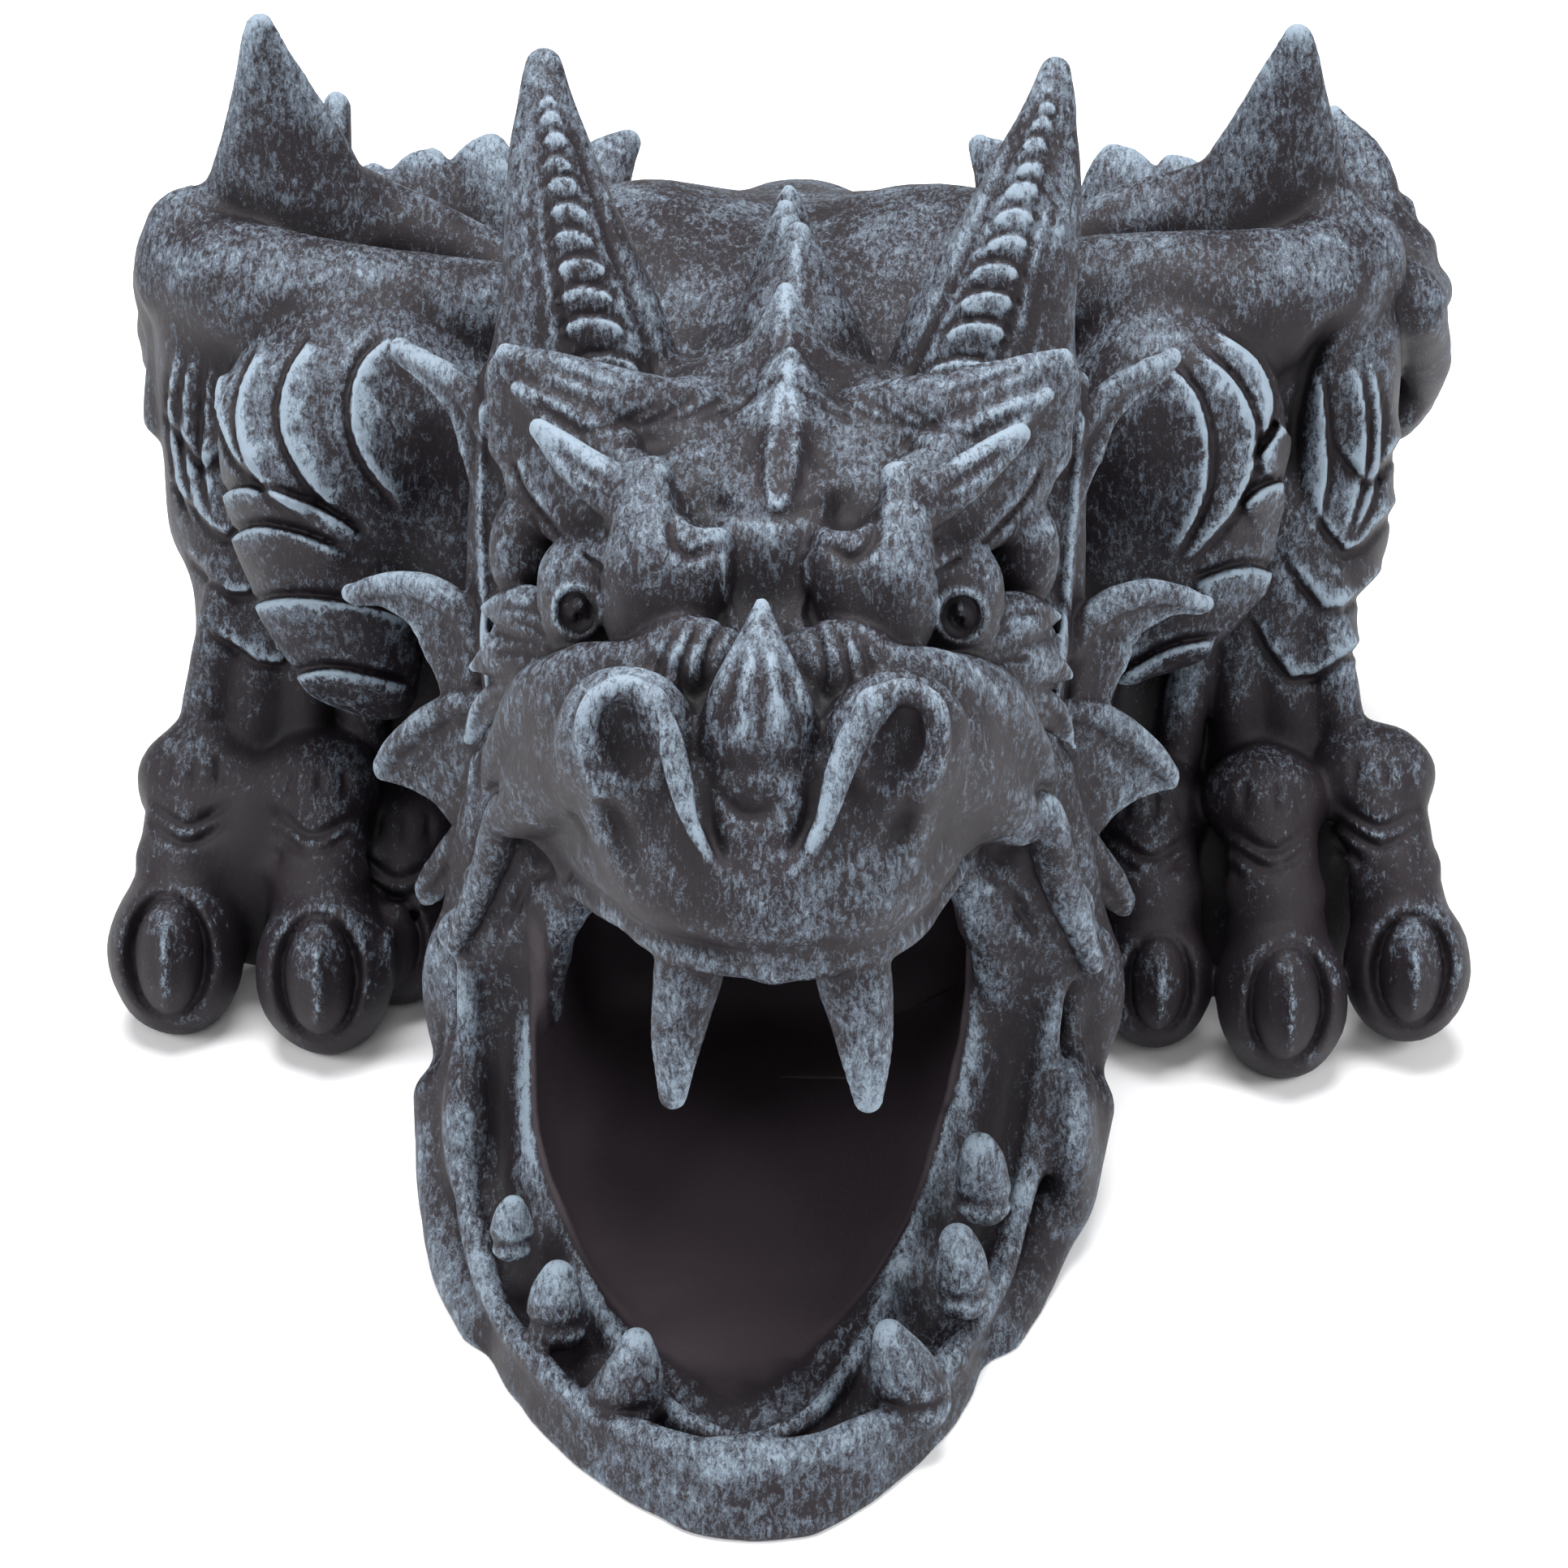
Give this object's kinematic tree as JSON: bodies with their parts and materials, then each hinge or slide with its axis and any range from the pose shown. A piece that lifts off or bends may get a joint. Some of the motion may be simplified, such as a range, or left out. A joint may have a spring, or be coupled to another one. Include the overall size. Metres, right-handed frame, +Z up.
{
  "type": "downspout gargoyle",
  "caption": "Crouching horned dragon cast in one piece; its gaping fanged mouth is the outlet of a water channel that enters at the back.",
  "frame": {"origin": "on the flat underside, on the centre line, under the shoulders", "axes": "+X towards the creature's left, +Y from the chin to the inlet at the back, +Z up"},
  "size_m": [0.3194, 0.4498, 0.242],
  "materials": {
    "cast_stone": "dark charcoal cast stone, semi-matte, with blue-grey dry-brushed highlights on everything raised"
  },
  "bodies": {
    "root": {"gargoyle": "cast_stone"}
  },
  "joints": []
}
